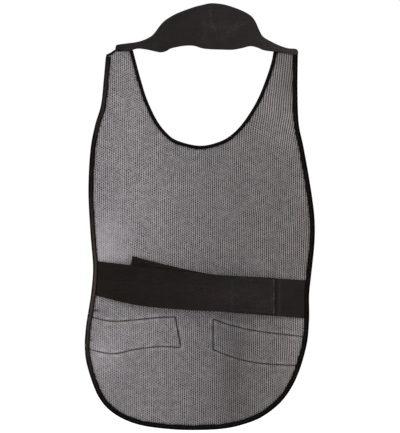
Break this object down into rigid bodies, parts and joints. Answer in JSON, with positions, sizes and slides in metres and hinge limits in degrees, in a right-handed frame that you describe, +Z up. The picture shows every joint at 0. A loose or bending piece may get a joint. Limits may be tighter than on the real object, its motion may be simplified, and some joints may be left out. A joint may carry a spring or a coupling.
{
  "type": "lead apron",
  "caption": "Frontal lead apron for dental X-rays: bound layered panel, padded neck yoke and a waist belt of two straps that cross and hold by hook and loop.",
  "frame": {"origin": "hanging point at the middle of the yoke's top edge, on the yoke's middle surface", "axes": "+Z up as it hangs, the wearer's side faces -Y, the outer cover faces +Y, +X is to the right when the wearer's side is seen"},
  "size_m": [0.606, 0.035, 1.1289],
  "materials": {
    "lining_mesh": "open spacer-mesh knit, matt",
    "shield_vinyl": "loaded vinyl sheet, matt",
    "cover_nylon": "coated woven nylon, low sheen",
    "binding_tape": "folded woven tape, satin",
    "thread": "polyester thread",
    "loop_pile": "brushed loop pile",
    "hook_tape": "moulded hook tape",
    "yoke_fabric": "brushed laminated fabric, matt",
    "yoke_foam": "open-cell foam",
    "belt_webbing": "brushed woven elastic web, matt"
  },
  "bodies": {
    "panel": {"mesh_lining": "lining_mesh", "shield_sheet_inner": "shield_vinyl", "shield_sheet_outer": "shield_vinyl", "outer_cover": "cover_nylon", "edge_binding": "binding_tape", "neck_binding": "binding_tape", "shoulder_binding_left": "binding_tape", "shoulder_binding_right": "binding_tape", "seam_stitch_left": "thread", "seam_stitch_right": "thread", "loop_strip_left": "loop_pile", "loop_strip_right": "loop_pile"},
    "yoke": {"yoke_front_cover": "yoke_fabric", "yoke_foam_pad": "yoke_foam", "yoke_back_cover": "yoke_fabric"},
    "belt_left": {"belt_strap_left": "belt_webbing", "belt_hook_pad": "hook_tape", "belt_hook_stitch": "thread"},
    "belt_right": {"belt_strap_right": "belt_webbing", "belt_loop_pad": "loop_pile", "belt_root_stitch": "thread"}
  },
  "joints": [
    {"name": "yoke_fold", "type": "hinge", "parent": "panel", "child": "yoke", "pos_m": [0, -0.007, -0.131], "axis": [1, 0, 0], "range_deg": [0, 150]},
    {"name": "belt_left_swing", "type": "hinge", "parent": "panel", "child": "belt_left", "pos_m": [-0.2735, -0.0164, -0.72], "axis": [0, 0, -1], "range_deg": [0, 150]},
    {"name": "belt_right_swing", "type": "hinge", "parent": "panel", "child": "belt_right", "pos_m": [0.271, -0.0164, -0.776], "axis": [0, 0, 1], "range_deg": [0, 27]}
  ],
  "couplings": [
    {"joint": "belt_right_swing", "follows": "belt_left_swing", "ratio": 0.18}
  ]
}
